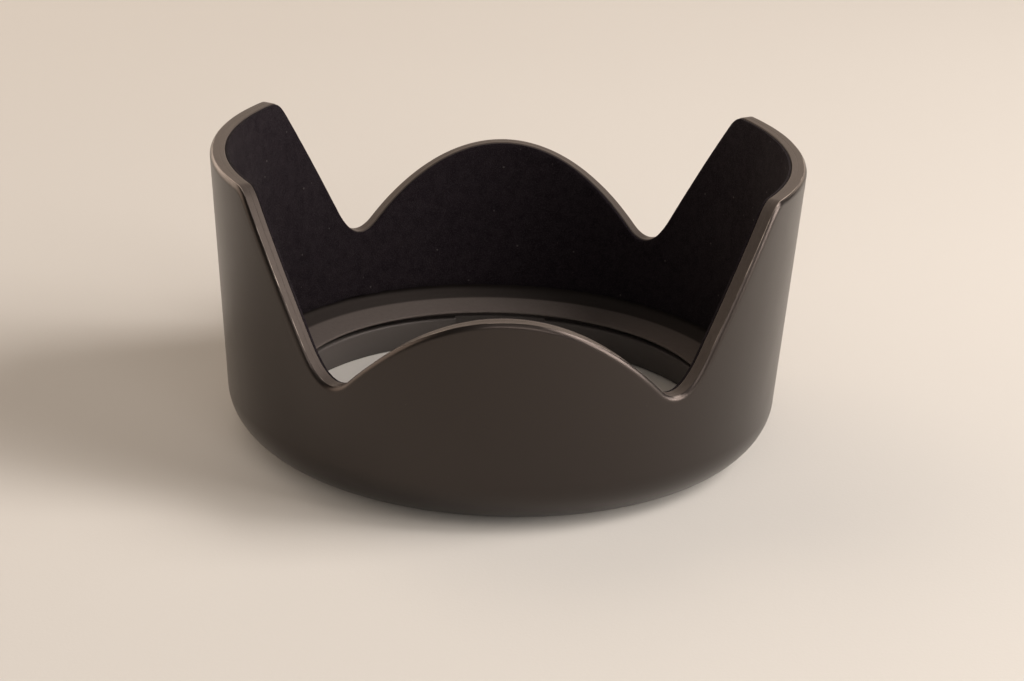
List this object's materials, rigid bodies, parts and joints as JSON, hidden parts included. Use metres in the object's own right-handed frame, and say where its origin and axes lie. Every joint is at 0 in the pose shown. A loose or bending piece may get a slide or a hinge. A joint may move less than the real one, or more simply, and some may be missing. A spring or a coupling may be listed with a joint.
{
  "type": "lens hood",
  "caption": "Petal-shaped lens hood with a rounded base, flocked interior and a bayonet mount ring with click springs.",
  "frame": {"origin": "on the optical axis, in the plane of the mount ring's rear face, which the hood stands on", "axes": "+Z along the optical axis from the mount towards the rim; X through the two tall petals; Y through the two short petals"},
  "size_m": [0.093, 0.0912, 0.046],
  "materials": {
    "shell_plastic": "fine matte moulded black",
    "ring_plastic": "matte dark grey",
    "flock": "black velvet flock",
    "spring_steel": "satin",
    "screw_steel": "blackened"
  },
  "bodies": {
    "hood": {"hood_shell": "shell_plastic", "flock_lining": "flock", "bayonet_ring": "ring_plastic", "ring_screw_1": "screw_steel", "ring_screw_2": "screw_steel", "ring_screw_3": "screw_steel"},
    "click_left": {"click_spring_left": "spring_steel"},
    "click_right": {"click_spring_right": "spring_steel"}
  },
  "joints": [
    {"name": "click_left_travel", "type": "slide", "parent": "hood", "child": "click_left", "axis": [-1, 0, 0], "range_m": [0, 0.0006], "stiffness_N_per_m": 2000},
    {"name": "click_right_travel", "type": "slide", "parent": "hood", "child": "click_right", "axis": [1, 0, 0], "range_m": [0, 0.0006], "stiffness_N_per_m": 2000}
  ]
}
